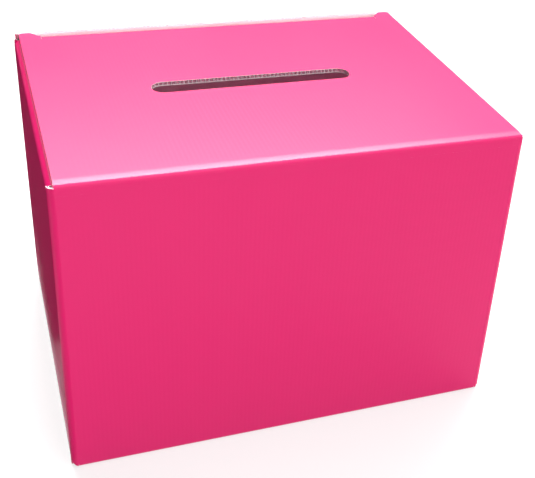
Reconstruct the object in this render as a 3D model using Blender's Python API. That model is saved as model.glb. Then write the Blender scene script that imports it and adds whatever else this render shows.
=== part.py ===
"""Entry box folded from one die-cut blank of twin-wall plastic sheet.

Four walls form a tube that is closed by a glued seam flap. The lid is creased to the front wall,
lies on two dust flaps and is shut by a tuck flap and two lock ears. The base is two interlocked
halves with a glued flap on each side. Metres, +Z up, front towards -Y, origin under the middle.
"""
import math

import bmesh
import bpy
from mathutils import Matrix, Vector

# Outside of the closed box
BOX_WIDTH = 0.350
BOX_DEPTH = 0.270
BOX_HEIGHT = 0.250

# Twin-wall sheet: two skins on ribs that run up the walls and from front to rear in the lid
SHEET = 0.0035
SKIN = 0.00045
RIB = 0.00045
RIB_PITCH = 0.0034
CELL_DEPTH = 0.006

# Creases, and how far those of the front and rear walls stop short of the box's sides
CUT_GAP = 0.0003
LAYER_GAP = 0.0005
CREASE_INSET = 0.0054
CORNER_RADIUS = 0.005
LID_FOLD_RADIUS = 0.0038
BASE_FOLD_RADIUS = 0.0038
TUCK_FOLD_RADIUS = 0.0040
DUST_FOLD_RADIUS = 0.0050
SEAM_FOLD_RADIUS = 0.0040
SQUARE_FOLD = math.radians(90)
FLAP_SWING = math.radians(30)
SWING_SPARE = math.radians(3)

# Lid, its lock ears and its slot
LID_LEFT_INSET = 0.0044
LID_RIGHT_INSET = 0.0024
TUCK_CLEARANCE = 0.0050
EAR_WIDTH = 0.0096
EAR_RUN = 0.0065
EAR_END_GAP = 0.0005
EAR_CORNER = 0.003
EAR_ROOT = 0.005
EAR_NOTCH_GAP = 0.0006
SLOT_LENGTH = 0.165
SLOT_WIDTH = 0.020
SLOT_FROM_FRONT = 0.137

# Tuck flap
TUCK_LENGTH = 0.030
TUCK_SIDE_GAP = 0.002
TUCK_SHOULDER = 0.009
TUCK_TAPER = 0.008
TUCK_CORNER = 0.008

# Dust flaps
DUST_REACH = 0.080
DUST_FRONT_START = 0.007
DUST_REAR_STOP = 0.010
DUST_SHOULDER = 0.014
DUST_TAPER = 0.012
DUST_CORNER = 0.012

# Seam flap
SEAM_REACH = 0.038
SEAM_BOTTOM = 0.014
SEAM_TOP_DROP = 0.040
SEAM_TAPER = 0.010
SEAM_CORNER = 0.004

# Base flaps
BASE_HOOK = 0.030
BASE_HOOK_RUN = 0.022
BASE_HOOK_CORNER = 0.010
BASE_PART_GAP = 0.0008
SIDE_BASE_REACH = 0.090
SIDE_BASE_END_GAP = 0.008
SIDE_BASE_TAPER = 0.066
SIDE_BASE_CORNER = 0.010

# Cutters reach this far past what they cut
OVERRUN = 0.001
ARC_STEPS = 6
SLOT_STEPS = 12

# Half sizes, levels and places that follow from the sizes above
HALF_WIDTH = BOX_WIDTH / 2
HALF_DEPTH = BOX_DEPTH / 2
LAYER = SHEET + LAYER_GAP
SIDE_TOP = BOX_HEIGHT - LAYER
CREASE_HALF = HALF_WIDTH - CREASE_INSET
LID_HALF = HALF_WIDTH - (LID_LEFT_INSET + LID_RIGHT_INSET) / 2
LID_MIDDLE = (LID_LEFT_INSET - LID_RIGHT_INSET) / 2
EAR_INNER = LID_HALF - EAR_WIDTH
EAR_FOOT = EAR_INNER - EAR_RUN
TUCK_HALF = EAR_FOOT - TUCK_SIDE_GAP
TUCK_FACE = BOX_DEPTH - SHEET - TUCK_CLEARANCE
SEAM_FACE = HALF_DEPTH - SHEET - CUT_GAP
SLIT = TUCK_SIDE_GAP / 4
FOLD_ROOM = FLAP_SWING + SWING_SPARE
LID_CUT = 2 * (LID_HALF + OVERRUN)
CREASE_CUT = 2 * (CREASE_HALF + OVERRUN)
UPRIGHT_CUT = BOX_HEIGHT + 2 * OVERRUN

# A panel's outer face looks this way
FACING = {
    "front": (math.radians(90), 0, 0),
    "rear": (math.radians(90), 0, math.radians(180)),
    "left": (math.radians(90), 0, math.radians(-90)),
    "right": (math.radians(90), 0, math.radians(90)),
    "top": (0, 0, 0),
    "under": (math.radians(180), 0, 0),
}

# The outside is printed, and the inside and the cut edges are bare
PRINT_PINK = (0.80, 0.016, 0.135, 1.0)
LID_PINK = (0.86, 0.10, 0.32, 1.0)
SHEET_WHITE = (0.86, 0.84, 0.85, 1.0)
PRINT_ROUGHNESS = 0.3
BARE_ROUGHNESS = 0.45


def clear_scene():
    """Remove every object that is in the file."""
    for item in list(bpy.data.objects):
        bpy.data.objects.remove(item, do_unlink=True)


def new_collection(name):
    """Add a collection to the scene."""
    collection = bpy.data.collections.new(name)
    bpy.context.scene.collection.children.link(collection)
    return collection


def finish(name, colour, roughness):
    """A plain Principled material."""
    material = bpy.data.materials.new(name)
    material.use_nodes = True
    shader = material.node_tree.nodes["Principled BSDF"]
    shader.inputs["Base Color"].default_value = colour
    shader.inputs["Roughness"].default_value = roughness
    shader.inputs["Metallic"].default_value = 0
    return material


def rounded(corners):
    """Outline of a polygon whose corners, given as (a, b, radius), are turned into arcs."""
    points = []
    for index, (a, b, radius) in enumerate(corners):
        corner = Vector((a, b))
        if radius == 0:
            points.append(corner)
            continue
        before = (Vector(corners[index - 1][:2]) - corner).normalized()
        after = (Vector(corners[(index + 1) % len(corners)][:2]) - corner).normalized()
        half = before.angle(after) / 2
        centre = corner + (before + after).normalized() * radius / math.sin(half)
        first = corner + before * radius / math.tan(half) - centre
        last = corner + after * radius / math.tan(half) - centre
        for step in range(ARC_STEPS + 1):
            share = step / ARC_STEPS
            points.append(centre + (first * (1 - share) + last * share).normalized() * radius)
    return points


def stadium(length, width, middle):
    """Outline of a slot with round ends, centred at b = middle."""
    radius = width / 2
    points = []
    for side in (1, -1):
        for step in range(SLOT_STEPS + 1):
            angle = math.pi * step / SLOT_STEPS - math.pi / 2
            across = side * (length / 2 - radius + radius * math.cos(angle))
            points.append(Vector((across, middle + side * radius * math.sin(angle))))
    return points


def extruded(name, outlines, thickness, collection):
    """A mesh object: flat outlines at local z = 0, and the sheet below them down to -thickness."""
    curve = bpy.data.curves.new(name, "CURVE")
    curve.dimensions = "2D"
    curve.fill_mode = "BOTH"
    curve.extrude = thickness / 2
    for outline in outlines:
        spline = curve.splines.new("POLY")
        spline.points.add(len(outline) - 1)
        for point, place in zip(spline.points, outline):
            point.co = (place[0], place[1], 0, 1)
        spline.use_cyclic_u = True
    guide = bpy.data.objects.new(name, curve)
    collection.objects.link(guide)
    bpy.context.view_layer.update()
    evaluated = guide.evaluated_get(bpy.context.evaluated_depsgraph_get())
    mesh = bpy.data.meshes.new_from_object(evaluated)
    bpy.data.objects.remove(guide, do_unlink=True)
    bpy.data.curves.remove(curve)
    shape = bmesh.new()
    shape.from_mesh(mesh)
    bmesh.ops.remove_doubles(shape, verts=shape.verts, dist=CUT_GAP / 100)
    bmesh.ops.translate(shape, verts=shape.verts, vec=(0, 0, -thickness / 2))
    bmesh.ops.recalc_face_normals(shape, faces=shape.faces)
    shape.to_mesh(mesh)
    shape.free()
    mesh.name = name
    item = bpy.data.objects.new(name, mesh)
    collection.objects.link(item)
    return item


def panel(name, outlines, facing, place, material):
    """A flat panel of sheet whose outer face passes through place and looks along facing."""
    item = extruded(name, outlines, SHEET, parts)
    item.location = place
    item.rotation_euler = FACING[facing]
    item.data.materials.append(material)
    return item


def hide_cutter(cutter):
    """Keep a cutter out of the finished model."""
    cutter.hide_render = True
    cutter.display_type = "WIRE"


def cut(item, cutter):
    """Take the cutter away from the item."""
    modifier = item.modifiers.new(cutter.name, "BOOLEAN")
    modifier.operation = "DIFFERENCE"
    modifier.object = cutter


def fold_middle(radius):
    """How far the middle of a rounded crease lies inside the sharp corner, each way."""
    return radius * (1 - math.sqrt(0.5))


def fold_section(radius, swing):
    """What a crease takes off a panel: (depth below its face, distance from the folded corner).

    The outer face turns into an arc. From the middle of the arc a slanting face runs inwards.
    With no swing it is a mitre, and otherwise it leaves room for the flap to swing in further.
    """
    slant = (SQUARE_FOLD + swing) / 2
    lean = math.cos(slant) - math.sin(slant)
    end = slant - math.asin((CUT_GAP / 2 - (radius - fold_middle(radius)) * lean) / radius)
    points = [Vector((-OVERRUN, radius))]
    for step in range(ARC_STEPS + 1):
        angle = end * step / ARC_STEPS
        points.append(Vector((radius * (1 - math.cos(angle)), radius * (1 - math.sin(angle)))))
    depth = SHEET + OVERRUN
    run = (depth - points[-1][0]) / math.cos(slant)
    points.append(Vector((depth, points[-1][1] + run * math.sin(slant))))
    points.append(Vector((depth, -OVERRUN)))
    points.append(Vector((-OVERRUN, -OVERRUN)))
    return points


def cut_fold(item, corner, inward, away, length, radius, swing=0):
    """Shape a panel's edge for a crease.

    corner is the middle of the sharp corner line, inward points through the sheet, and away
    points along the panel from the crease.
    """
    outline = fold_section(radius, swing)
    cutter = extruded(item.name + "_fold_cutter", [outline], length, cutters)
    inward = Vector(inward)
    away = Vector(away)
    along = inward.cross(away)
    turn = Matrix((inward, away, along)).transposed().to_4x4()
    cutter.matrix_world = Matrix.Translation(Vector(corner) + along * length / 2) @ turn
    hide_cutter(cutter)
    cut(item, cutter)


def cut_boxes(item, use, boxes):
    """Cut boxes away, such as notches or the open ends of cells, each given by two corners."""
    name = item.name + "_" + use + "_cutter"
    mesh = bpy.data.meshes.new(name)
    shape = bmesh.new()
    for low, high in boxes:
        low = Vector(low)
        high = Vector(high)
        size = Matrix.Diagonal(high - low).to_4x4()
        bmesh.ops.create_cube(shape, size=1, matrix=Matrix.Translation((low + high) / 2) @ size)
    shape.to_mesh(mesh)
    shape.free()
    cutter = bpy.data.objects.new(name, mesh)
    cutters.objects.link(cutter)
    hide_cutter(cutter)
    cut(item, cutter)


def cell_spans(half_span):
    """Low and high sides of the cells that lie whole between -half_span and half_span."""
    count = int((half_span + RIB / 2) / RIB_PITCH)
    lows = [index * RIB_PITCH + RIB / 2 for index in range(-count, count)]
    return [(low, low + RIB_PITCH - RIB) for low in lows]


def hinge_line(name, place, parent):
    """An empty on a crease's axis, carried by parent."""
    empty = bpy.data.objects.new(name, None)
    empty.location = place
    parts.objects.link(empty)
    if parent:
        empty.parent = parent
        empty.matrix_parent_inverse = Matrix.Translation(-Vector(parent.location))
    return empty


def carry(item, hinge):
    """Let a hinge line carry a piece where it stands."""
    item.parent = hinge
    item.matrix_parent_inverse = Matrix.Translation(-Vector(hinge.location))


def rectangle(low_a, low_b, high_a, high_b):
    """Outline of a rectangle between two corners."""
    return rounded([
        (low_a, low_b, 0), (high_a, low_b, 0), (high_a, high_b, 0), (low_a, high_b, 0),
    ])


def notch_boxes(face, spans, low, high):
    """Boxes that notch a wall whose outer face is at y = face, one for each span along x."""
    middle = face - math.copysign(SHEET / 2, face)
    near = middle - SHEET / 2 - OVERRUN
    far = middle + SHEET / 2 + OVERRUN
    return [((start, near, low), (end, far, high)) for start, end in spans]


def end_boxes(face, low, high):
    """Boxes that notch both ends of a wall, up to where its creases stop."""
    outer = HALF_WIDTH + OVERRUN
    return notch_boxes(face, [(-outer, -CREASE_HALF), (CREASE_HALF, outer)], low, high)


def make_front_wall():
    """Front wall, creased to the lid, the base and both side walls."""
    outline = rectangle(-HALF_WIDTH, 0, HALF_WIDTH, BOX_HEIGHT)
    wall = panel("front_wall", [outline], "front", (0, -HALF_DEPTH, 0), pink)
    notches = end_boxes(-HALF_DEPTH, SIDE_TOP, BOX_HEIGHT + OVERRUN)
    notches += end_boxes(-HALF_DEPTH, -OVERRUN, LAYER)
    cut_boxes(wall, "notch", notches)
    corner = (0, -HALF_DEPTH, BOX_HEIGHT)
    cut_fold(wall, corner, (0, 1, 0), (0, 0, -1), CREASE_CUT, LID_FOLD_RADIUS)
    corner = (0, -HALF_DEPTH, 0)
    cut_fold(wall, corner, (0, 1, 0), (0, 0, 1), CREASE_CUT, BASE_FOLD_RADIUS)
    for side in (-1, 1):
        corner = (side * HALF_WIDTH, -HALF_DEPTH, BOX_HEIGHT / 2)
        cut_fold(wall, corner, (0, 1, 0), (-side, 0, 0), UPRIGHT_CUT, CORNER_RADIUS)


def make_rear_wall():
    """Rear wall: an open top edge with a notch for each lock ear, and the glued seam at its end."""
    outline = rectangle(-HALF_WIDTH, 0, HALF_WIDTH, BOX_HEIGHT)
    wall = panel("rear_wall", [outline], "rear", (0, HALF_DEPTH, 0), pink)
    ear_run = EAR_RUN * (SHEET - EAR_END_GAP) / (SHEET + TUCK_CLEARANCE - EAR_END_GAP)
    inner = EAR_INNER - ear_run - EAR_NOTCH_GAP
    outer = LID_HALF + EAR_NOTCH_GAP
    ears = [(LID_MIDDLE - outer, LID_MIDDLE - inner), (LID_MIDDLE + inner, LID_MIDDLE + outer)]
    notches = notch_boxes(HALF_DEPTH, ears, SIDE_TOP, BOX_HEIGHT + OVERRUN)
    notches += end_boxes(HALF_DEPTH, -OVERRUN, LAYER)
    cut_boxes(wall, "notch", notches)
    corner = (0, HALF_DEPTH, 0)
    cut_fold(wall, corner, (0, -1, 0), (0, 0, 1), CREASE_CUT, BASE_FOLD_RADIUS)
    corner = (-HALF_WIDTH, HALF_DEPTH, BOX_HEIGHT / 2)
    cut_fold(wall, corner, (0, -1, 0), (1, 0, 0), UPRIGHT_CUT, CORNER_RADIUS)
    cells = []
    for low, high in cell_spans(HALF_WIDTH - CORNER_RADIUS):
        cells.append(((low, HALF_DEPTH - SHEET + SKIN, SIDE_TOP - CELL_DEPTH),
                      (high, HALF_DEPTH - SKIN, BOX_HEIGHT + OVERRUN)))
    cut_boxes(wall, "cell", cells)


def make_side_wall(name, side):
    """Side wall, creased to its dust flap, its base flap and the front wall."""
    rear_end = SEAM_FACE if side > 0 else HALF_DEPTH
    ends = (-HALF_DEPTH, rear_end) if side > 0 else (-rear_end, HALF_DEPTH)
    outline = rectangle(ends[0], LAYER, ends[1], SIDE_TOP)
    facing = "right" if side > 0 else "left"
    wall = panel(name, [outline], facing, (side * HALF_WIDTH, 0, 0), pink)
    inward = (-side, 0, 0)
    front = DUST_FRONT_START - HALF_DEPTH - CUT_GAP
    rear = HALF_DEPTH - DUST_REAR_STOP + CUT_GAP
    corner = (side * HALF_WIDTH, (front + rear) / 2, SIDE_TOP)
    cut_fold(wall, corner, inward, (0, 0, -1), rear - front, DUST_FOLD_RADIUS, FOLD_ROOM)
    length = BOX_DEPTH - 2 * (SIDE_BASE_END_GAP - CUT_GAP)
    corner = (side * HALF_WIDTH, 0, LAYER)
    cut_fold(wall, corner, inward, (0, 0, 1), length, BASE_FOLD_RADIUS)
    corner = (side * HALF_WIDTH, -HALF_DEPTH, BOX_HEIGHT / 2)
    cut_fold(wall, corner, inward, (0, 1, 0), UPRIGHT_CUT, CORNER_RADIUS)
    corner = (side * HALF_WIDTH, rear_end, BOX_HEIGHT / 2)
    rear_radius = SEAM_FOLD_RADIUS if side > 0 else CORNER_RADIUS
    cut_fold(wall, corner, inward, (0, -1, 0), UPRIGHT_CUT, rear_radius)


def make_seam_flap():
    """Glue flap off the right wall, stuck to the inside of the rear wall."""
    top = BOX_HEIGHT - SEAM_TOP_DROP
    tip = SEAM_REACH - HALF_WIDTH
    outline = rounded([
        (-HALF_WIDTH, SEAM_BOTTOM, 0), (tip, SEAM_BOTTOM + SEAM_TAPER, SEAM_CORNER),
        (tip, top - SEAM_TAPER, SEAM_CORNER), (-HALF_WIDTH, top, 0),
    ])
    flap = panel("seam_flap", [outline], "rear", (0, SEAM_FACE, 0), bare)
    corner = (HALF_WIDTH, SEAM_FACE, BOX_HEIGHT / 2)
    cut_fold(flap, corner, (0, -1, 0), (-1, 0, 0), UPRIGHT_CUT, SEAM_FOLD_RADIUS)


def make_base_half(name, front):
    """Half of the base, with the stepped edge that interlocks with the other half."""
    side = -1 if front else 1
    middle = HALF_DEPTH - BASE_PART_GAP / 2
    deep = side * (middle + BASE_HOOK)
    shallow = side * (middle - BASE_HOOK)
    left_end, right_end = (deep, shallow) if front else (shallow, deep)
    outline = rounded([
        (-CREASE_HALF, 0, 0), (CREASE_HALF, 0, 0), (CREASE_HALF, right_end, 0),
        (BASE_HOOK_RUN, right_end, BASE_HOOK_CORNER), (-BASE_HOOK_RUN, left_end, BASE_HOOK_CORNER),
        (-CREASE_HALF, left_end, 0),
    ])
    flap = panel(name, [outline], "under", (0, side * HALF_DEPTH, 0), pink)
    corner = (0, side * HALF_DEPTH, 0)
    cut_fold(flap, corner, (0, 0, 1), (0, -side, 0), CREASE_CUT, BASE_FOLD_RADIUS)


def make_side_base_flap(name, side):
    """Side flap of the base, glued down on both base halves."""
    root = HALF_DEPTH - SIDE_BASE_END_GAP
    tip = root - SIDE_BASE_TAPER
    outer = side * HALF_WIDTH
    inner = side * (HALF_WIDTH - SIDE_BASE_REACH)
    outline = rounded([
        (outer, -root, 0), (outer, root, 0),
        (inner, tip, SIDE_BASE_CORNER), (inner, -tip, SIDE_BASE_CORNER),
    ])
    flap = panel(name, [outline], "under", (0, 0, LAYER), bare)
    corner = (outer, 0, LAYER)
    cut_fold(flap, corner, (0, 0, 1), (-side, 0, 0), BOX_DEPTH, BASE_FOLD_RADIUS)


def make_dust_flap(name, side):
    """Dust flap off a side wall's top, cut back at the rear so that the tuck flap can swing."""
    inset = fold_middle(DUST_FOLD_RADIUS)
    place = (side * (HALF_WIDTH - inset), 0, SIDE_TOP - inset)
    hinge = hinge_line(name + "_crease", place, None)
    front = DUST_FRONT_START - HALF_DEPTH
    rear = HALF_DEPTH - DUST_REAR_STOP
    throat = TUCK_FACE - HALF_DEPTH - SHEET - TUCK_LENGTH * math.sin(FLAP_SWING) - TUCK_SIDE_GAP
    outer = side * HALF_WIDTH
    shoulder = side * (HALF_WIDTH - DUST_SHOULDER)
    inner = side * (HALF_WIDTH - DUST_REACH)
    outline = rounded([
        (outer, front, 0), (shoulder, front, 0), (inner, front + DUST_TAPER, DUST_CORNER),
        (inner, throat - DUST_TAPER, DUST_CORNER), (shoulder, throat, 0), (shoulder, rear, 0),
        (outer, rear, 0),
    ])
    flap = panel(name, [outline], "top", (0, 0, SIDE_TOP), pink)
    corner = (outer, 0, SIDE_TOP)
    cut_fold(flap, corner, (0, 0, -1), (-side, 0, 0), BOX_DEPTH, DUST_FOLD_RADIUS, FOLD_ROOM)
    carry(flap, hinge)


def make_lid():
    """Lid with its slot and lock ears. Returns the hinge line that carries it."""
    inset = fold_middle(LID_FOLD_RADIUS)
    hinge = hinge_line("lid_crease", (0, inset - HALF_DEPTH, BOX_HEIGHT - inset), None)
    ear_end = BOX_DEPTH - EAR_END_GAP
    outline = rounded([
        (-LID_HALF, 0, 0), (LID_HALF, 0, 0), (LID_HALF, ear_end, EAR_CORNER),
        (EAR_INNER, ear_end, EAR_CORNER), (EAR_FOOT, TUCK_FACE, EAR_ROOT),
        (-EAR_FOOT, TUCK_FACE, EAR_ROOT), (-EAR_INNER, ear_end, EAR_CORNER),
        (-LID_HALF, ear_end, EAR_CORNER),
    ])
    slot = stadium(SLOT_LENGTH, SLOT_WIDTH, SLOT_FROM_FRONT)
    corner = (LID_MIDDLE, -HALF_DEPTH, BOX_HEIGHT)
    lid = panel("lid_panel", [outline, slot], "top", corner, lid_pink)
    cut_fold(lid, corner, (0, 0, -1), (0, 1, 0), LID_CUT, LID_FOLD_RADIUS)
    corner = (LID_MIDDLE, TUCK_FACE - HALF_DEPTH, BOX_HEIGHT)
    length = 2 * (TUCK_HALF + SLIT)
    cut_fold(lid, corner, (0, 0, -1), (0, -1, 0), length, TUCK_FOLD_RADIUS, FOLD_ROOM)
    cells = []
    reach = SLOT_WIDTH / 2 + CELL_DEPTH
    middle = SLOT_FROM_FRONT - HALF_DEPTH
    for low, high in cell_spans(SLOT_LENGTH / 2):
        cells.append(((LID_MIDDLE + low, middle - reach, BOX_HEIGHT - SHEET + SKIN),
                      (LID_MIDDLE + high, middle + reach, BOX_HEIGHT - SKIN)))
    cut_boxes(lid, "cell", cells)
    carry(lid, hinge)
    return hinge


def make_tuck_flap(lid_hinge):
    """Tuck flap creased to the lid's rear edge, inside the rear wall."""
    inset = fold_middle(TUCK_FOLD_RADIUS)
    place = (0, TUCK_FACE - HALF_DEPTH - inset, BOX_HEIGHT - inset)
    hinge = hinge_line("tuck_crease", place, lid_hinge)
    outline = rounded([
        (-TUCK_HALF, 0, 0), (-TUCK_HALF, -TUCK_SHOULDER, 0),
        (TUCK_TAPER - TUCK_HALF, -TUCK_LENGTH, TUCK_CORNER),
        (TUCK_HALF - TUCK_TAPER, -TUCK_LENGTH, TUCK_CORNER),
        (TUCK_HALF, -TUCK_SHOULDER, 0), (TUCK_HALF, 0, 0),
    ])
    corner = (LID_MIDDLE, TUCK_FACE - HALF_DEPTH, BOX_HEIGHT)
    flap = panel("tuck_flap", [outline], "rear", corner, pink)
    cut_fold(flap, corner, (0, -1, 0), (0, 0, -1), BOX_WIDTH, TUCK_FOLD_RADIUS, FOLD_ROOM)
    carry(flap, hinge)


clear_scene()
parts = new_collection("entry_box")
cutters = new_collection("cutters")
pink = finish("printed_sheet", PRINT_PINK, PRINT_ROUGHNESS)
lid_pink = finish("printed_lid_sheet", LID_PINK, PRINT_ROUGHNESS)
bare = finish("bare_sheet", SHEET_WHITE, BARE_ROUGHNESS)

make_front_wall()
make_rear_wall()
make_side_wall("left_wall", -1)
make_side_wall("right_wall", 1)
make_seam_flap()
make_base_half("front_base_flap", True)
make_base_half("rear_base_flap", False)
make_side_base_flap("left_base_flap", -1)
make_side_base_flap("right_base_flap", 1)
make_dust_flap("left_dust_flap", -1)
make_dust_flap("right_dust_flap", 1)
make_tuck_flap(make_lid())
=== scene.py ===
"""Entry box folded from one blank of printed twin-wall plastic sheet, as it stands on a pale floor.

Every panel is two thin skins on ribs. Each skin is a closed grid shell, and so is each rib, so the
cut edges show open cells. The panels that meet in a moving crease are joined by a strip of the same
sheet, crushed thin in the middle of its bend. Metres, +Z up, front towards -Y.
"""
import math

import bpy
import numpy as np
from mathutils import Euler, Matrix


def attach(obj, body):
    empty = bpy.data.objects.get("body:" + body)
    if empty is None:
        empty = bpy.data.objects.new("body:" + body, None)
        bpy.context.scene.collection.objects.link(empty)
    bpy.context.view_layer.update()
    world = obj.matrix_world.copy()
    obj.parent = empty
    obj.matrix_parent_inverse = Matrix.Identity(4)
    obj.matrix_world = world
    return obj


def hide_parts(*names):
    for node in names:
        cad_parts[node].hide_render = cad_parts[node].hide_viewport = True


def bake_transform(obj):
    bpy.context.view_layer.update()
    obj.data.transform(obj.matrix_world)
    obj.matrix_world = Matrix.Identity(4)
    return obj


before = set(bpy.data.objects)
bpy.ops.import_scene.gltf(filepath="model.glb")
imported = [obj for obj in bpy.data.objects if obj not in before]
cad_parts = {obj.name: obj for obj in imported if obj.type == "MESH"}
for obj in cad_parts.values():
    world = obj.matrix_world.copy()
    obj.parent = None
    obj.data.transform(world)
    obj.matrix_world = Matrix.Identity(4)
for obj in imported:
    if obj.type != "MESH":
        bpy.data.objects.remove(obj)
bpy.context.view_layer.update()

# Outside of the closed box
HALF_WIDTH = 0.175
HALF_DEPTH = 0.135
BOX_HEIGHT = 0.250

# The sheet. SINK is how far a skin sinks between two ribs, and RIB_BITE how far a rib goes into a skin.
# CRUSHED is the thickness left in a crease, and CRUSH_SPREAD how far past the bend the crush goes
SHEET = 0.0035
SKIN = 0.00045
RIB = 0.00045
RIB_PITCH = 0.0034
RIB_BITE = 0.00009
SINK = 0.000022
CRUSHED = 0.0014
CRUSH_SPREAD = 0.0030

# Levels. The side flaps of the base lie LAYER above its halves, and the dust flaps' faces at SIDE_TOP
LAYER = 0.004
SIDE_TOP = 0.246

# Creases and cuts. CREASE_HALF is half of the base's crease at the front or rear, and STRIP_LEAD how far
# the strip of a moving crease leads in and out of its bend
CUT_GAP = 0.0003
CREASE_HALF = 0.1696
CORNER_RADIUS = 0.005
LID_RADIUS = 0.0038
BASE_RADIUS = 0.0038
TUCK_RADIUS = 0.004
DUST_RADIUS = 0.005
SEAM_RADIUS = 0.004
STRIP_LEAD = 0.004
MITRE = math.radians(45)
SQUARE = math.radians(90)

# Raw cut edges of a corner: its top beside the lid, its foot, and how far the foot rises in the bend
CORNER_TOP = 0.248
CORNER_LOW = 0.0020
CORNER_LIFT = 0.0025

# Lid and tuck flap. Lengths along the lid start at the front wall's face. Past the slot's ends its row
# of cells goes on, SLOT_TIP to each side of its middle
LID_HALF = 0.1716
LID_MIDDLE = 0.0010
EAR_INNER = 0.1620
EAR_FOOT = 0.1555
EAR_END = 0.2695
EAR_CORNER = 0.003
EAR_ROOT = 0.005
NOTCH_INNER = 0.15896
NOTCH_OUTER = 0.1722
TUCK_HALF = 0.1535
TUCK_SLIT = 0.0005
TUCK_FACE = 0.2615
TUCK_LENGTH = 0.030
TUCK_SHOULDER = 0.009
TUCK_TAPER = 0.008
TUCK_CORNER = 0.008
SLOT_LENGTH = 0.165
SLOT_WIDTH = 0.020
SLOT_MIDDLE = 0.137
SLOT_TIP = 0.00005

# The lid turns down towards its front crease on a wide bend before the tight one
LEAD_RADIUS = 0.038
LEAD_TILT = math.radians(10)
FOLD_START = (BOX_HEIGHT - LID_RADIUS * math.cos(LEAD_TILT)
              - LEAD_RADIUS * (1 - math.cos(LEAD_TILT)))
LEAD_END = LID_RADIUS * (1 - math.sin(LEAD_TILT)) + LEAD_RADIUS * math.sin(LEAD_TILT)

# Dust flaps, seam flap and base flaps
DUST_REACH = 0.080
DUST_FRONT = -0.128
DUST_REAR = 0.1295
DUST_THROAT = 0.1060
DUST_SHOULDER = 0.014
DUST_TAPER = 0.012
DUST_CORNER = 0.012
SEAM_FACE = 0.1312
SEAM_TIP = 0.137
SEAM_LOW = 0.014
SEAM_HIGH = 0.210
SEAM_TAPER = 0.010
BASE_DEEP = 0.1646
BASE_SHALLOW = 0.1046
BASE_HOOK_RUN = 0.022
BASE_HOOK_CORNER = 0.010
SIDE_BASE_ROOT = 0.127
SIDE_BASE_TIP = 0.061
SIDE_BASE_REACH = 0.090
SIDE_BASE_CORNER = 0.010

# How finely the surfaces are cut, and the least differences that count
ARC_STEPS = 8
STRIP_ARC_STEPS = 2 * ARC_STEPS
LINE_ARC_STEPS = 8
SLOT_END_STEPS = 12
LEAD_STEPS = 3
EAR_ROWS = 4
PANEL_ROWS = 9
CELL_SHARES = (0.3, 0.5, 0.7)
PLACE_DIGITS = 7
LEAST_SPAN = 2e-6
LEAST_STEP = 1e-9
LEAST_LENGTH = 1e-12

# Finishes. Each glow tints the light that goes through. The cloud is a broad noise, the grain a fine one
PRINT_PINK = (0.58, 0.004, 0.112)
PRINT_GLOW = (1.0, 0.26, 0.48)
SHEET_WHITE = (0.88, 0.83, 0.845)
INSIDE_WHITE = (0.40, 0.36, 0.375)
SHEET_GLOW = (1.0, 0.97, 0.98)
CLOUD_SCALE = 9.0
CLOUD_DETAIL = 3.0
COLOUR_SPREAD = 0.01
GLOSS_SPREAD = 0.15
GRAIN_SCALE = 900.0
GRAIN_DETAIL = 2.0
GRAIN_DEPTH = 0.0001

# Which of a piece's finishes the outer, inner and edge faces of its shells take
OUTER_SKIN = (0, 1, 2)
INNER_SKIN = (1, 1, 2)
RIBS = (2, 2, 2)
SOLID_CORE = (0, 0, 0)

# Floor, and a card that only reflections see. It paints shade into the left wall's reflection: dark, and
# paler low down
FLOOR_HALF = 30.0
FLOOR_GREY = 0.33
FLOOR_ROUGHNESS = 0.7
FLOOR_GLOW = 0.63
CARD_CORNERS = ((-4.0, -0.6), (-0.178, 6.0))
CARD_LEVEL = 0.0015
CARD_REACH = (0.005, 0.032)
PAINTED_REFLECTION_GREYS = (0.26, 0.005)

# Lights. A dome light has an azimuth, from +Y towards +X, an elevation, an outer and an inner half
# angle, all in degrees, and a strength. The other pairs are reaches and levels of smooth steps
HORIZON_RISE = (0.0, 0.35)
HORIZON_LEVELS = (1.0, 0.7)
DOME_LIGHTS = (
    (20, 90, 50, 10, 1.7),
    (165, 40, 60, 15, 1.05),
)
SOFTBOX_AZIMUTH = 13
SOFTBOX_STRENGTH = 20.5
SOFTBOX_RISE = (0.350, 0.829)
SOFTBOX_TOP = (0.829, 0.951)
SOFTBOX_ASIDE = (0.122, 0.530)
SOFTBOX_AHEAD = (0.0, 0.1)
LEFT_FADE = (-0.5, 0.05)

# Camera, fitted to the box's edges in the photograph. Its lens is in millimetres, and its turn in degrees
SENSOR_WIDTH = 36
FOCAL_LENGTH = 66.12
CAMERA_SHIFT = (-0.1187, -0.0636)
CAMERA_PLACE = (-0.20720, -0.70163, 0.57296)
CAMERA_TURN = (59.1882, -3.8563, -19.6809)
CAMERA_REACH = 100

X = np.array((1.0, 0.0, 0.0))
Y = np.array((0.0, 1.0, 0.0))
Z = np.array((0.0, 0.0, 1.0))


def noise(tree, place, scale, detail):
    """Noise on a place, with a scale and a detail."""
    texture = tree.nodes.new("ShaderNodeTexNoise")
    texture.inputs["Scale"].default_value = scale
    texture.inputs["Detail"].default_value = detail
    tree.links.new(place, texture.inputs["Vector"])
    return texture.outputs["Fac"]


def spread(tree, value, middle, share):
    """A value from 0 to 1, made to run from middle (1 - share) to middle (1 + share)."""
    node = tree.nodes.new("ShaderNodeMapRange")
    node.inputs["To Min"].default_value = middle * (1 - share)
    node.inputs["To Max"].default_value = middle * (1 + share)
    tree.links.new(value, node.inputs["Value"])
    return node.outputs["Result"]


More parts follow.
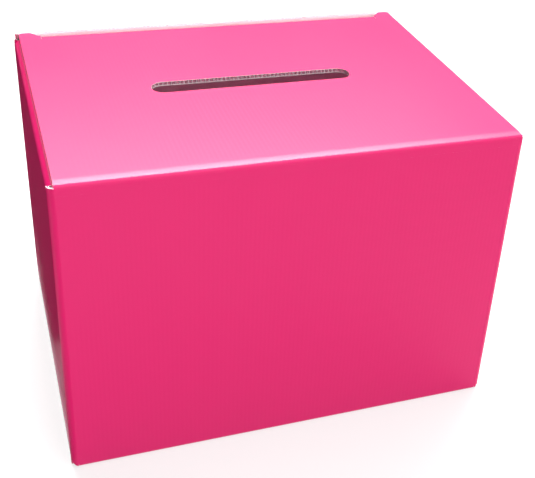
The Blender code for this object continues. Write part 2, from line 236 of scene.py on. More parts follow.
def finish_material(name, colour, glow, through, roughness, specular, bump):
    """A sheet's finish. A cloud of noise varies its colour and its gloss, and a grain its surface.

    The share called through of the light goes on through the face, tinted by the glow. The shader
    gives back the rest, so its own colour is divided by 1 - through.
    """
    material = bpy.data.materials.new(name)
    material.use_nodes = True
    tree = material.node_tree
    shader = tree.nodes["Principled BSDF"]
    shader.inputs["Specular IOR Level"].default_value = specular
    place = tree.nodes.new("ShaderNodeTexCoord").outputs["Object"]
    cloud = noise(tree, place, CLOUD_SCALE, CLOUD_DETAIL)
    grain = noise(tree, place, GRAIN_SCALE, GRAIN_DETAIL)
    tint = tree.nodes.new("ShaderNodeVectorMath")
    tint.operation = "SCALE"
    tint.inputs[0].default_value = [level / (1 - through) for level in colour]
    tree.links.new(spread(tree, cloud, 1, COLOUR_SPREAD), tint.inputs["Scale"])
    tree.links.new(tint.outputs["Vector"], shader.inputs["Base Color"])
    tree.links.new(spread(tree, cloud, roughness, GLOSS_SPREAD), shader.inputs["Roughness"])
    relief = tree.nodes.new("ShaderNodeBump")
    relief.inputs["Strength"].default_value = bump
    relief.inputs["Distance"].default_value = GRAIN_DEPTH
    tree.links.new(grain, relief.inputs["Height"])
    tree.links.new(relief.outputs["Normal"], shader.inputs["Normal"])
    let_through = tree.nodes.new("ShaderNodeBsdfTranslucent")
    let_through.inputs["Color"].default_value = (*glow, 1)
    face = tree.nodes.new("ShaderNodeMixShader")
    face.inputs["Fac"].default_value = through
    tree.links.new(shader.outputs["BSDF"], face.inputs[1])
    tree.links.new(let_through.outputs["BSDF"], face.inputs[2])
    tree.links.new(face.outputs["Shader"], tree.nodes["Material Output"].inputs["Surface"])
    return material


print_finish = finish_material("pink_print", PRINT_PINK, PRINT_GLOW, through=0.24,
                               roughness=0.20, specular=0.33, bump=0.04)
inside_finish = finish_material("thin_white_skin", INSIDE_WHITE, SHEET_GLOW, through=0.56,
                                roughness=0.45, specular=0.8, bump=0.05)
bare_finish = finish_material("bare_white_sheet", SHEET_WHITE, SHEET_GLOW, through=0.05,
                              roughness=0.45, specular=0.5, bump=0.05)

# A piece's finishes: for its printed face, for its skins' other faces, and for its ribs and cut edges
PRINTED = (print_finish, inside_finish, bare_finish)
PLAIN = (bare_finish, bare_finish, bare_finish)


def flat(places):
    """Stations on the flat of a sheet: (place, turn, radius, run, drop), a column for each place."""
    places = np.asarray(places, float)
    none = np.zeros_like(places)
    return np.stack((places, none, none, none, none))


def up_stations(*rows):
    """Flat stations up the ribs, with their own place in each column."""
    return flat(np.concatenate(rows, axis=1))


def bend(place, radius, first, last, steps=ARC_STEPS):
    """Stations round a bend whose tangent point on the flat lies at place, from one turn to another."""
    turns = np.linspace(first, last, steps + 1)
    full = np.ones_like(turns)
    return np.stack((place * full, turns, radius * full, 0 * full, 0 * full))


def wider_bend(place, before, radius, first, last):
    """Stations round a bend that goes on from one of another radius without a kink.

    Its place moves by (before - radius) sin first, and it lies deeper by (before - radius) (1 - cos first).
    """
    stations = bend(place + (before - radius) * math.sin(first), radius, first, last, LEAD_STEPS)
    stations[4] = (before - radius) * (1 - math.cos(first))
    return stations


def lead_in(place):
    """Stations on the flat that ends where a bend starts, from STRIP_LEAD before it."""
    return flat(np.linspace(place - STRIP_LEAD, place, LEAD_STEPS + 1))


def lead_out(place, radius):
    """Stations on the flat that follows a square bend, up to STRIP_LEAD past it."""
    runs = np.linspace(0, STRIP_LEAD, LEAD_STEPS + 1)[1:]
    full = np.ones_like(runs)
    return np.stack((place * full, SQUARE * full, radius * full, runs, 0 * full))


def joined(*groups):
    """Stations in one row, with a station that repeats the one before it left out."""
    row = np.concatenate(groups, axis=1)
    fresh = np.append(True, np.abs(np.diff(row, axis=1)).sum(axis=0) > LEAST_STEP)
    return row[:, fresh]


def along(stations, depth):
    """How far along the sheet a point at a depth lies: place + (radius - depth) sin turn + run cos turn."""
    place, turn, radius, run, _ = stations
    return place + (radius - depth) * np.sin(turn) + run * np.cos(turn)


def below(stations, depth):
    """How much deeper it gets: radius - (radius - depth) cos turn + run sin turn - depth + drop."""
    _, turn, radius, run, drop = stations
    return radius - (radius - depth) * np.cos(turn) + run * np.sin(turn) - depth + drop


def surface(axes, across, up, depth):
    """Points of a sheet at a depth under its outer face, for stations across its ribs and up them.

    A point is origin + A along(across) + B along(up) - N (depth + below(across) + below(up)).
    """
    origin, a_axis, b_axis, normal = axes
    a_place = along(across, depth)
    b_place = along(up, depth)
    deep = depth + below(across, depth) + below(up, depth)
    return (np.asarray(origin) + a_place[..., None] * a_axis + b_place[..., None] * b_axis
            - deep[..., None] * normal)


def outward(axes, across, up):
    """Which way a sheet's outer face looks: the normal turned by both bends, tilted by the sink's slope.

    The slope is SINK pi / pitch times sin (2 pi place / pitch), on the flat only.
    """
    _, a_axis, b_axis, normal = axes
    wave = SINK * math.pi / RIB_PITCH * np.sin(2 * math.pi * across[0] / RIB_PITCH)
    tilt = np.where(across[1] == 0, wave, np.sin(across[1])) + 0 * up[1]
    facing = ((np.cos(across[1]) * np.cos(up[1]))[..., None] * normal + tilt[..., None] * a_axis
              + (np.sin(up[1]) + 0 * across[1])[..., None] * b_axis)
    return facing / np.linalg.norm(facing, axis=-1, keepdims=True)


def shell(outer, inner, keep, facing):
    """A closed shell between two grids of points, over the cells that keep marks.

    Returns its points, its quads, a kind for each quad (0 outer face, 1 inner face, 2 edge, 3 edge at
    the grid's first or last row), and the way each corner of a quad faces: as the sheet does there,
    or the other way on the inner face, or square to an edge quad. An edge quad stands on each side of
    a kept cell that no other shares.
    """
    rows, columns = outer.shape[:2]
    index = np.arange(rows * columns).reshape(rows, columns)
    corners = np.stack((index[:-1, :-1], index[1:, :-1], index[1:, 1:], index[:-1, 1:]), axis=-1)
    cells = corners[keep]
    count = rows * columns
    starts = cells.ravel()
    ends = np.roll(cells, -1, axis=1).ravel()
    lone = ~np.isin(starts * count + ends, ends * count + starts)
    starts, ends = starts[lone], ends[lone]
    edge = np.stack((ends, starts, starts + count, ends + count), axis=-1)
    quads = np.concatenate((cells, cells[:, ::-1] + count, edge))
    kind = np.repeat((0, 1, 2), (len(cells), len(cells), len(edge)))
    at_side = ((starts // columns == ends // columns)
               & np.isin(starts // columns, (0, rows - 1)))
    kind[2 * len(cells):] += at_side
    points = np.concatenate((outer.reshape(-1, 3), inner.reshape(-1, 3)))
    sides = np.cross(points[edge[:, 2]] - points[edge[:, 0]], points[edge[:, 3]] - points[edge[:, 1]])
    sides = sides / np.maximum(np.linalg.norm(sides, axis=1, keepdims=True), LEAST_LENGTH)
    ways = facing.reshape(-1, 3)
    ways = np.concatenate((ways[cells], -ways[cells[:, ::-1]], sides[:, None, :].repeat(4, axis=1)))
    used, quads = np.unique(quads, return_inverse=True)
    return points[used], quads.reshape(-1, 4), kind, ways.reshape(-1, 3)


def mesh_piece(name, shells, finishes):
    """One mesh from closed shells. Each has the numbers of its outer, inner and edge faces' finishes.

    The sides along the ribs take the first finish, as the die rolls the print over them.
    """
    points = np.concatenate([part[0] for part, _ in shells])
    firsts = np.cumsum([0] + [len(part[0]) for part, _ in shells])
    quads = np.concatenate([part[1] + first for (part, _), first in zip(shells, firsts)])
    slots = np.concatenate([np.choose(part[2], (*numbers, 0)) for part, numbers in shells])
    ways = np.concatenate([part[3] for part, _ in shells])
    mesh = bpy.data.meshes.new(name)
    mesh.vertices.add(len(points))
    mesh.vertices.foreach_set("co", points.astype(np.float32).ravel())
    mesh.loops.add(quads.size)
    mesh.loops.foreach_set("vertex_index", quads.astype(np.int32).ravel())
    mesh.polygons.add(len(quads))
    mesh.polygons.foreach_set("loop_start", np.arange(0, quads.size, 4, dtype=np.int32))
    for finish in finishes:
        mesh.materials.append(finish)
    mesh.polygons.foreach_set("material_index", slots.astype(np.int32))
    mesh.update(calc_edges=True)
    mesh.normals_split_custom_set(ways.tolist())
    piece = bpy.data.objects.new(name, mesh)
    bpy.context.scene.collection.objects.link(piece)
    return piece


def middles(values):
    """Middles of the spans between neighbouring values."""
    return (values[1:] + values[:-1]) / 2


def rib_places(low, high):
    """Middles of the ribs that lie whole between low and high."""
    first = math.ceil((low + RIB / 2) / RIB_PITCH)
    last = math.floor((high - RIB / 2) / RIB_PITCH)
    return RIB_PITCH * np.arange(first, last + 1)


def on_rib(places):
    """Marks the spans between neighbouring places that lie on a rib."""
    middle = middles(places)
    return np.abs(middle - RIB_PITCH * np.round(middle / RIB_PITCH)) < RIB / 2


def flat_columns(low, high, marks=()):
    """Places across a flat: both sides of each rib, three places in each cell, both ends and marks."""
    ribs = rib_places(low, high)
    sides = np.concatenate((ribs - RIB / 2, ribs + RIB / 2))
    cells = (ribs[:, None] + RIB_PITCH * np.array(CELL_SHARES)).ravel()
    fixed = np.concatenate((sides, (low, high), marks))
    near = np.abs(cells[:, None] - fixed[None, :]).min(axis=1) < RIB / 4
    places = np.concatenate((fixed, cells[~near]))
    places = places[(places >= low) & (places <= high)]
    return np.unique(np.round(places, PLACE_DIGITS))


def twin_wall(name, axes, across, up, keep=True, finishes=PRINTED, thickness=SHEET, sealed=False):
    """A piece of twin-wall sheet: an outer skin, an inner skin and the ribs between them.

    It has the cells between neighbouring stations that keep marks. Between two ribs the outer skin
    sinks by SINK sin squared (pi place / pitch). In a bend across the ribs the sheet is solid, its
    skin doesn't sink, and it is thinner by SHEET - CRUSHED times 1 - (1 - |sin 2 turn|) squared.
    Both sides of a sealed piece are closed by the print.
    """
    across = across[:, :, None]
    up = up[:, None, :] if up.ndim == 2 else up
    level = np.zeros(np.broadcast_shapes(across.shape[1:], up.shape[1:]))
    keep = np.ones((level.shape[0] - 1, level.shape[1] - 1), bool) & keep
    pressed = 1 - (1 - np.abs(np.sin(2 * across[1]))) ** 2
    thick = level + thickness - (SHEET - CRUSHED) * pressed
    sink = np.where(across[1] == 0, SINK * np.sin(math.pi * across[0] / RIB_PITCH) ** 2, 0) + level
    bent = (across[1, 1:, 0] != 0) | (across[1, :-1, 0] != 0)
    ribbed = on_rib(across[0, :, 0])
    facing = outward(axes, across, up)

    def layer(upper, lower, cells):
        """The closed shell between two depths."""
        return shell(surface(axes, across, up, upper), surface(axes, across, up, lower), cells, facing)

    core = (level + SKIN - RIB_BITE, thick - SKIN + RIB_BITE)
    solid = keep & bent[:, None]
    if sealed:
        solid[[0, -1]] = keep[[0, -1]]
    shells = [
        (layer(sink, level + SKIN, keep), OUTER_SKIN),
        (layer(thick - SKIN, thick, keep), INNER_SKIN),
        (layer(*core, keep & ribbed[:, None] & ~solid), RIBS),
    ]
    if solid.any():
        shells.append((layer(*core, solid), SOLID_CORE))
    return mesh_piece(name, shells, finishes)


def dress(piece, body, node):
    """Let a piece ride on its body and stand for its plain node."""
    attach(piece, body)
    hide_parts(node)


def rounded_line(corners):
    """An open line through corners, given as (a, b, radius), whose inner corners are arcs.

    An arc's centre lies radius / sin half from its corner, on the line that halves the corner's angle,
    and the arc starts and ends radius / tan half from the corner.
    """
    points = [np.array(corners[0][:2])]
    for before, here, after in zip(corners, corners[1:], corners[2:]):
        corner = np.array(here[:2])
        back = np.array(before[:2]) - corner
        ahead = np.array(after[:2]) - corner
        back = back / np.linalg.norm(back)
        ahead = ahead / np.linalg.norm(ahead)
        half = math.acos(np.clip(back @ ahead, -1, 1)) / 2
        middle = (back + ahead) / np.linalg.norm(back + ahead)
        centre = corner + middle * here[2] / math.sin(half)
        first = corner + back * here[2] / math.tan(half) - centre
        last = corner + ahead * here[2] / math.tan(half) - centre
        for share in np.linspace(0, 1, LINE_ARC_STEPS + 1):
            spoke = first * (1 - share) + last * share
            points.append(centre + spoke / np.linalg.norm(spoke) * here[2])
    points.append(np.array(corners[-1][:2]))
    return np.array(points)


def height_at(line, places):
    """Height of a line over places across the sheet."""
    return np.interp(places, line[:, 0], line[:, 1])


def rows_between(low, high, steps=PANEL_ROWS):
    """Rows of places from low to high, which may change from column to column."""
    shares = np.linspace(0, 1, steps + 1)
    low = np.asarray(low, float)[..., None]
    high = np.asarray(high, float)[..., None]
    return low + (high - low) * shares


def hand(side):
    """The word for a side: right is towards +X."""
    return "right" if side > 0 else "left"


def wall_rows(across, crease, foot, top, above):
    """Stations up a wall: half a bend at its foot, the flat up to the top, and the levels above it.

    Past the crease's half length the foot is a cut edge instead, which rises towards the middle of a
    corner by CORNER_LIFT times the square of its share of the turn. Returns the stations, the number
    of each row of cells, and how many of these rows are the foot's.
    """
    arc = bend(foot + BASE_RADIUS, BASE_RADIUS, -MITRE, 0)
    levels = np.append(np.linspace(foot + BASE_RADIUS, top, PANEL_ROWS + 1)[1:], above)
    up = np.concatenate((arc, flat(levels)), axis=1)[:, None, :].repeat(across.shape[1], axis=1)
    feet = arc.shape[1] - 1
    raw = np.abs(across[0]) > crease + CUT_GAP / 2
    low = CORNER_LOW + CORNER_LIFT * (across[1] / MITRE) ** 2
    cut_rows = flat(rows_between(low, np.full_like(low, foot + BASE_RADIUS), feet))
    up[:, raw, :feet + 1] = cut_rows[:, raw]
    return up, np.arange(up.shape[2] - 1)[None, :], feet


def foot_cuts(middle, row, feet, crease):
    """Marks the cells of the narrow cut at each end of a wall's base crease."""
    return (np.abs(middle) > crease) & (np.abs(middle) < crease + CUT_GAP) & (row < feet)


def front_wall():
    """Front wall with half a bend at each side and at the bottom; its top ends under the lid's crease."""
    axes = ((0, -HALF_DEPTH, 0), X, Z, -Y)
    flat_half = HALF_WIDTH - CORNER_RADIUS
    slit = CREASE_HALF + CUT_GAP
    across = joined(
        bend(-flat_half, CORNER_RADIUS, -MITRE, 0),
        flat(flat_columns(-flat_half, flat_half, (-slit, -CREASE_HALF, CREASE_HALF, slit))),
        bend(flat_half, CORNER_RADIUS, 0, MITRE))
    up, row, feet = wall_rows(across, CREASE_HALF, 0, FOLD_START - STRIP_LEAD, (SIDE_TOP, CORNER_TOP))
    middle = middles(along(across, 0))[:, None]
    beside = np.abs(middle - LID_MIDDLE) > LID_HALF
    keep = ~foot_cuts(middle, row, feet, CREASE_HALF) & ((row < row.size - 2) | beside)
    piece = twin_wall("front_wall_sheet", axes, across, up, keep)
    dress(piece, "box", "front_wall")


def rear_wall():
    """Rear wall, whose top edge is cut open, with a notch for each ear of the lid."""
    axes = ((0, HALF_DEPTH, 0), -X, Z, Y)
    notches = [(-LID_MIDDLE - NOTCH_OUTER, -LID_MIDDLE - NOTCH_INNER),
               (-LID_MIDDLE + NOTCH_INNER, -LID_MIDDLE + NOTCH_OUTER)]
    flat_end = HALF_WIDTH - CORNER_RADIUS
    slit = CREASE_HALF + CUT_GAP
    marks = (-slit, -CREASE_HALF, CREASE_HALF, slit, *notches[0], *notches[1])
    across = joined(flat(flat_columns(-HALF_WIDTH, flat_end, marks)),
                    bend(flat_end, CORNER_RADIUS, 0, MITRE))
    up, row, feet = wall_rows(across, CREASE_HALF, 0, SIDE_TOP, (BOX_HEIGHT,))
    middle = middles(along(across, 0))[:, None]
    notched = np.zeros_like(middle, bool)
    for low, high in notches:
        notched |= (middle > low) & (middle < high)
    keep = ~foot_cuts(middle, row, feet, CREASE_HALF) & ~(notched & (row == row.size - 1))
    piece = twin_wall("rear_wall_sheet", axes, across, up, keep)
    dress(piece, "box", "rear_wall")


def side_wall(side):
    """Side wall with half a bend at front, rear and bottom; its top ends under the dust flap's crease.

    The right wall's rear bend starts inside the cut at the end of its base crease, so its foot is cut off.
    """
    axes = ((side * HALF_WIDTH, 0, 0), side * Y, Z, side * X)
    rear = (SEAM_FACE, SEAM_RADIUS) if side > 0 else (HALF_DEPTH, CORNER_RADIUS)
    ends = [(-HALF_DEPTH, CORNER_RADIUS), rear]
    dust = (DUST_FRONT - CUT_GAP, DUST_REAR + CUT_GAP)
    if side < 0:
        ends = [(-place, radius) for place, radius in ends[::-1]]
        dust = (-dust[1], -dust[0])
    (low, low_radius), (high, high_radius) = ends
    slit = SIDE_BASE_ROOT + CUT_GAP
    marks = (*dust, -slit, -SIDE_BASE_ROOT, SIDE_BASE_ROOT, slit)
    across = joined(
        bend(low + low_radius, low_radius, -MITRE, 0),
        flat(flat_columns(low + low_radius, high - high_radius, marks)),
        bend(high - high_radius, high_radius, 0, MITRE))
    top = SIDE_TOP - DUST_RADIUS - STRIP_LEAD
    up, row, feet = wall_rows(across, SIDE_BASE_ROOT, LAYER, top, (SIDE_TOP, CORNER_TOP))
    middle = middles(across[0])[:, None]
    creased = (middle > dust[0]) & (middle < dust[1])
    at_front = side * middles(along(across, 0))[:, None] < CORNER_RADIUS - HALF_DEPTH
    keep = ~foot_cuts(middle, row, feet, SIDE_BASE_ROOT) & ~(creased & (row == row.size - 2))
    keep &= (row < row.size - 1) | at_front
    piece = twin_wall(hand(side) + "_wall_sheet", axes, across, up, keep)
    dress(piece, "box", hand(side) + "_wall")


def seam_flap():
    """Glue flap that goes on from the right wall, inside the rear wall, and narrows towards its tip."""
    axes = ((0, SEAM_FACE, 0), -X, Z, Y)
    root = SEAM_RADIUS - HALF_WIDTH
    across = joined(bend(root, SEAM_RADIUS, -MITRE, 0), flat(flat_columns(root, -SEAM_TIP)))
    share = np.clip((along(across, 0) + HALF_WIDTH) / (HALF_WIDTH - SEAM_TIP), 0, 1)
    up = up_stations(rows_between(SEAM_LOW + SEAM_TAPER * share, SEAM_HIGH - SEAM_TAPER * share))
    piece = twin_wall("seam_flap_sheet", axes, across, up)
    dress(piece, "box", "seam_flap")


def base_piece(name, axes, places, reach, finishes):
    """A base flap from the middle of its bend to its free edge, which lies at reach."""
    arc = bend(BASE_RADIUS, BASE_RADIUS, -MITRE, 0)[:, None, :].repeat(len(places), axis=1)
    rest = up_stations(rows_between(np.full_like(places, BASE_RADIUS), reach))[:, :, 1:]
    up = np.concatenate((arc, rest), axis=2)
    piece = twin_wall(name + "_base_sheet", axes, flat(places), up, finishes=finishes)
    dress(piece, "box", name + "_base_flap")


def base_half(side):
    """Front or rear half of the base, whose free edge steps from shallow to deep."""
    axes = ((0, side * HALF_DEPTH, 0), side * X, -side * Y, -Z)
    line = rounded_line([
        (-CREASE_HALF, BASE_SHALLOW, 0), (-BASE_HOOK_RUN, BASE_SHALLOW, BASE_HOOK_CORNER),
        (BASE_HOOK_RUN, BASE_DEEP, BASE_HOOK_CORNER), (CREASE_HALF, BASE_DEEP, 0)])
    places = flat_columns(-CREASE_HALF, CREASE_HALF)
    base_piece("rear" if side > 0 else "front", axes, places, height_at(line, places), PRINTED)


def side_base_flap(side):
    """Side flap of the base, glued down on both halves."""
    axes = ((side * HALF_WIDTH, 0, LAYER), -side * Y, -side * X, -Z)
    line = rounded_line([
        (-SIDE_BASE_ROOT, 0, 0), (-SIDE_BASE_TIP, SIDE_BASE_REACH, SIDE_BASE_CORNER),
        (SIDE_BASE_TIP, SIDE_BASE_REACH, SIDE_BASE_CORNER), (SIDE_BASE_ROOT, 0, 0)])
    places = flat_columns(-SIDE_BASE_ROOT, SIDE_BASE_ROOT)
    reach = np.maximum(height_at(line, places), BASE_RADIUS + CUT_GAP)
    base_piece(hand(side), axes, places, reach, PLAIN)


def crushed(up, place, radius):
    """Thickness along a moving crease: SHEET less a cosine squared hollow round the bend's middle."""
    run = up[0] - place + radius * up[1] + up[3]
    half = radius * SQUARE / 2
    share = np.clip((run - half) / (half + CRUSH_SPREAD), -1, 1)
    return SHEET - (SHEET - CRUSHED) * np.cos(share * SQUARE) ** 2


def square_strip(place, radius):
    """Stations of a strip with a flat lead, a square bend and a flat lead."""
    return joined(lead_in(place), bend(place, radius, 0, SQUARE, STRIP_ARC_STEPS), lead_out(place, radius))


def crease_strip(name, axes, places, up, fold):
    """The strip of sheet that bends between two panels, crushed thin in the middle of its bend.

    The fold is the bend's place and radius.
    """
    piece = twin_wall(name, axes, flat(places), up, thickness=crushed(up, *fold))
    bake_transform(piece)


def flap(name, axes, line, radius):
    """A flap from the end of its crease's strip up to its free edge, which is the line."""
    places = flat_columns(line[0, 0], line[-1, 0])
    start = np.full_like(places, radius + STRIP_LEAD)
    up = up_stations(rows_between(start, height_at(line, places)))
    piece = twin_wall(name + "_flap_sheet", axes, flat(places), up)
    dress(piece, name, name + "_flap")


def lid_crease():
    """Crease between the front wall and the lid.

    Its bend opens out into the much wider one that leads on to the lid's flat.
    """
    axes = ((LID_MIDDLE, -HALF_DEPTH, 0), X, Z, -Y)
    tight_end = SQUARE - LEAD_TILT
    up = joined(
        lead_in(FOLD_START),
        bend(FOLD_START, LID_RADIUS, 0, tight_end, STRIP_ARC_STEPS),
        wider_bend(FOLD_START, LID_RADIUS, LEAD_RADIUS, tight_end, SQUARE - LEAD_TILT / 2)[:, 1:])
    crease_strip(
        "lid_crease_sheet", axes, flat_columns(-LID_HALF, LID_HALF), up, (FOLD_START, LID_RADIUS))


def lid_panel():
    """Lid with its slot, whose half width at a place is that of a straight middle and round ends.

    The half width is the square root of radius squared less past squared, where past is how far the
    place lies past the straight middle.
    """
    axes = ((LID_MIDDLE, -HALF_DEPTH, BOX_HEIGHT), X, Y, Z)
    radius = SLOT_WIDTH / 2
    straight = SLOT_LENGTH / 2 - radius
    round_end = straight + radius * np.sin(np.linspace(0, SQUARE, SLOT_END_STEPS + 1))
    slit = TUCK_HALF + TUCK_SLIT
    ear = rounded_line([
        (slit, TUCK_FACE, 0), (EAR_FOOT, TUCK_FACE, EAR_ROOT), (EAR_INNER, EAR_END, EAR_CORNER),
        (LID_HALF, EAR_END, EAR_CORNER), (LID_HALF, TUCK_FACE, 0)])[:-1]
    marks = np.concatenate((round_end, (slit, EAR_FOOT, LID_HALF - RIB), ear[:, 0]))
    places = flat_columns(-LID_HALF, LID_HALF, np.concatenate((-marks, marks)))
    places = places[np.append(True, np.diff(places) > LEAST_SPAN)]
    past = np.clip(np.abs(places) - straight, 0, radius)
    gap = np.maximum(np.sqrt(radius ** 2 - past ** 2), SLOT_TIP)
    full = np.ones_like(places)
    rear_start = TUCK_FACE - TUCK_RADIUS - STRIP_LEAD
    lead = bend(LEAD_END, LEAD_RADIUS, -LEAD_TILT / 2, 0, LEAD_STEPS)
    rest = up_stations(
        rows_between(LEAD_END * full, SLOT_MIDDLE - gap)[:, 1:],
        rows_between(SLOT_MIDDLE + gap, rear_start * full),
        rows_between(rear_start * full, height_at(ear, np.abs(places)), EAR_ROWS)[:, 1:])
    up = np.concatenate((lead[:, None, :].repeat(len(places), axis=1), rest), axis=2)
    middle = np.abs(middles(places))[:, None]
    row = np.arange(up.shape[2] - 1)[None, :] - LEAD_STEPS
    in_slot = (row == PANEL_ROWS) & (middle < SLOT_LENGTH / 2)
    creased = (row > 2 * PANEL_ROWS) & (middle < slit)
    piece = twin_wall("lid_sheet", axes, flat(places), up, ~in_slot & ~creased, sealed=True)
    dress(piece, "lid", "lid_panel")


def tuck_crease():
    """Crease between the lid and its tuck flap."""
    axes = ((LID_MIDDLE, -HALF_DEPTH, BOX_HEIGHT), X, Y, Z)
    place = TUCK_FACE - TUCK_RADIUS
    crease_strip(
        "tuck_crease_sheet", axes, flat_columns(-TUCK_HALF, TUCK_HALF),
        square_strip(place, TUCK_RADIUS), (place, TUCK_RADIUS))


def tuck_flap():
    """Tuck flap, whose sides slant in from a shoulder to its free edge."""
    axes = ((LID_MIDDLE, TUCK_FACE - HALF_DEPTH, BOX_HEIGHT), X, -Z, Y)
    line = rounded_line([
        (-TUCK_HALF, TUCK_SHOULDER, 0), (TUCK_TAPER - TUCK_HALF, TUCK_LENGTH, TUCK_CORNER),
        (TUCK_HALF - TUCK_TAPER, TUCK_LENGTH, TUCK_CORNER), (TUCK_HALF, TUCK_SHOULDER, 0)])
    flap("tuck", axes, line, TUCK_RADIUS)


def dust_crease(side):
    """Crease between a side wall and its dust flap."""
    name = hand(side) + "_dust"
    axes = ((side * HALF_WIDTH, 0, 0), side * Y, Z, side * X)
    low, high = (DUST_FRONT, DUST_REAR) if side > 0 else (-DUST_REAR, -DUST_FRONT)
    place = SIDE_TOP - DUST_RADIUS
    crease_strip(
        name + "_crease_sheet", axes, flat_columns(low, high),
        square_strip(place, DUST_RADIUS), (place, DUST_RADIUS))


def dust_flap(side):
    """Dust flap, cut back at the rear so that the tuck flap can swing."""
    axes = ((side * HALF_WIDTH, 0, SIDE_TOP), side * Y, -side * X, Z)
    line = rounded_line([
        (DUST_FRONT, DUST_SHOULDER, 0), (DUST_FRONT + DUST_TAPER, DUST_REACH, DUST_CORNER),
        (DUST_THROAT - DUST_TAPER, DUST_REACH, DUST_CORNER), (DUST_THROAT, DUST_SHOULDER, 0)])
    line = np.append(line, ((DUST_REAR, DUST_SHOULDER),), axis=0)
    if side < 0:
        line = line[::-1] * (-1, 1)
    flap(hand(side) + "_dust", axes, line, DUST_RADIUS)


def toward(tree, where, way):
    """The cosine between where and a way."""
    dot = tree.nodes.new("ShaderNodeVectorMath")
    dot.operation = "DOT_PRODUCT"
    tree.links.new(where, dot.inputs[0])
    dot.inputs[1].default_value = way
    return dot.outputs["Value"]


def combined(tree, operation, *values):
    """One value from one or two others."""
    node = tree.nodes.new("ShaderNodeMath")
    node.operation = operation
    for socket, value in zip(node.inputs, values):
        tree.links.new(value, socket)
    return node.outputs["Value"]


def smooth_step(tree, value, reach, levels):
    """A value's smooth step over reach, from the first level to the second."""
    step = tree.nodes.new("ShaderNodeMapRange")
    step.interpolation_type = "SMOOTHSTEP"
    for socket, number in zip(("From Min", "From Max", "To Min", "To Max"), (*reach, *levels)):
        step.inputs[socket].default_value = number
    tree.links.new(value, step.inputs["Value"])
    return step.outputs["Result"]


def level_card(name, finish, corners, level):
    """A flat rectangle between two corners at a level, and the node tree of its own new material."""
    (left, near), (right, far) = corners
    mesh = bpy.data.meshes.new(name)
    mesh.from_pydata([(left, near, level), (right, near, level), (right, far, level), (left, far, level)],
                     [], [(0, 1, 2, 3)])
    material = bpy.data.materials.new(finish)
    material.use_nodes = True
    mesh.materials.append(material)
    card = bpy.data.objects.new(name, mesh)
    bpy.context.scene.collection.objects.link(card)
    return card, material.node_tree


def pale_floor():
    """A broad pale floor under the box, which glows faintly as a light table does."""
    corners = ((-FLOOR_HALF, -FLOOR_HALF), (FLOOR_HALF, FLOOR_HALF))
    floor, tree = level_card("floor", "pale_floor", corners, 0)
    shader = tree.nodes["Principled BSDF"]
    shader.inputs["Base Color"].default_value = (FLOOR_GREY, FLOOR_GREY, FLOOR_GREY, 1)
    shader.inputs["Roughness"].default_value = FLOOR_ROUGHNESS
    shader.inputs["Emission Color"].default_value = (1, 1, 1, 1)
    shader.inputs["Emission Strength"].default_value = FLOOR_GLOW


def painted_reflection_card():
    """A card on the floor to the left, grey in front and dark behind, that only reflections see: painted
    shade in the left wall's reflection, paler low down.
    """
    card, tree = level_card("card", "painted_reflection_card", CARD_CORNERS, CARD_LEVEL)
    shader = tree.nodes["Principled BSDF"]
    split = tree.nodes.new("ShaderNodeSeparateXYZ")
    tree.links.new(tree.nodes.new("ShaderNodeTexCoord").outputs["Object"], split.inputs["Vector"])
    # greys of the painted reflection in the left wall: grey in front, dark behind
    shade = smooth_step(tree, split.outputs["Y"], CARD_REACH, PAINTED_REFLECTION_GREYS)
    tree.links.new(shade, shader.inputs["Base Color"])
    shader.inputs["Specular IOR Level"].default_value = 0
    card.visible_camera = False
    card.visible_diffuse = False
    card.visible_shadow = False
    card.visible_transmission = False


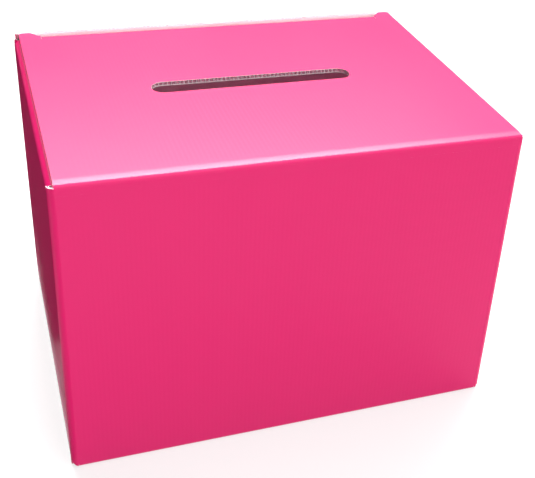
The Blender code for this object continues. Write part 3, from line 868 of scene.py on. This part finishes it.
def studio_world():
    """A soft dome: a pale horizon, a light overhead, one from the front and a softbox behind the box.

    A dome light is its strength times a smooth step of the cosine of the angle to its middle. The
    softbox is its strength times smooth steps: up and down again with height, down to each side, and
    up towards the rear. The dome fades out towards the left.
    """
    world = bpy.data.worlds.new("studio")
    bpy.context.scene.world = world
    world.use_nodes = True
    tree = world.node_tree
    back = tree.nodes["Background"]
    back.inputs["Color"].default_value = (1, 1, 1, 1)
    where = tree.nodes.new("ShaderNodeTexCoord").outputs["Generated"]
    split = tree.nodes.new("ShaderNodeSeparateXYZ")
    tree.links.new(where, split.inputs["Vector"])
    height = split.outputs["Z"]
    total = smooth_step(tree, height, HORIZON_RISE, HORIZON_LEVELS)
    for azimuth, elevation, outer, inner, strength in DOME_LIGHTS:
        turn, rise = math.radians(azimuth), math.radians(elevation)
        middle = (math.sin(turn) * math.cos(rise), math.cos(turn) * math.cos(rise), math.sin(rise))
        edge = (math.cos(math.radians(outer)), math.cos(math.radians(inner)))
        light = smooth_step(tree, toward(tree, where, middle), edge, (0.0, strength))
        total = combined(tree, "ADD", total, light)
    turn = math.radians(SOFTBOX_AZIMUTH)
    aside = combined(tree, "ABSOLUTE", toward(tree, where, (math.cos(turn), -math.sin(turn), 0)))
    ahead = toward(tree, where, (math.sin(turn), math.cos(turn), 0))
    softbox = smooth_step(tree, height, SOFTBOX_RISE, (0.0, SOFTBOX_STRENGTH))
    for value, reach, levels in ((aside, SOFTBOX_ASIDE, (1.0, 0.0)), (ahead, SOFTBOX_AHEAD, (0.0, 1.0)),
                                 (height, SOFTBOX_TOP, (1.0, 0.0))):
        softbox = combined(tree, "MULTIPLY", softbox, smooth_step(tree, value, reach, levels))
    total = combined(tree, "ADD", total, softbox)
    fade = smooth_step(tree, split.outputs["X"], LEFT_FADE, (0.0, 1.0))
    tree.links.new(combined(tree, "MULTIPLY", total, fade), back.inputs["Strength"])


def photo_camera():
    """The camera where the photograph was taken from, fitted to a picture of 535 by 478."""
    lens = bpy.data.cameras.new("camera")
    lens.sensor_width = SENSOR_WIDTH
    lens.lens = FOCAL_LENGTH
    lens.shift_x, lens.shift_y = CAMERA_SHIFT
    lens.clip_end = CAMERA_REACH
    camera = bpy.data.objects.new("camera", lens)
    turn = Euler([math.radians(angle) for angle in CAMERA_TURN])
    camera.matrix_world = Matrix.Translation(CAMERA_PLACE) @ turn.to_matrix().to_4x4()
    bpy.context.scene.collection.objects.link(camera)
    bpy.context.scene.camera = camera


front_wall()
rear_wall()
side_wall(-1)
side_wall(1)
seam_flap()
base_half(-1)
base_half(1)
side_base_flap(-1)
side_base_flap(1)
lid_crease()
lid_panel()
tuck_crease()
tuck_flap()
dust_crease(-1)
dust_crease(1)
dust_flap(-1)
dust_flap(1)

pale_floor()
painted_reflection_card()
studio_world()
photo_camera()
bpy.context.scene.view_settings.view_transform = "Standard"
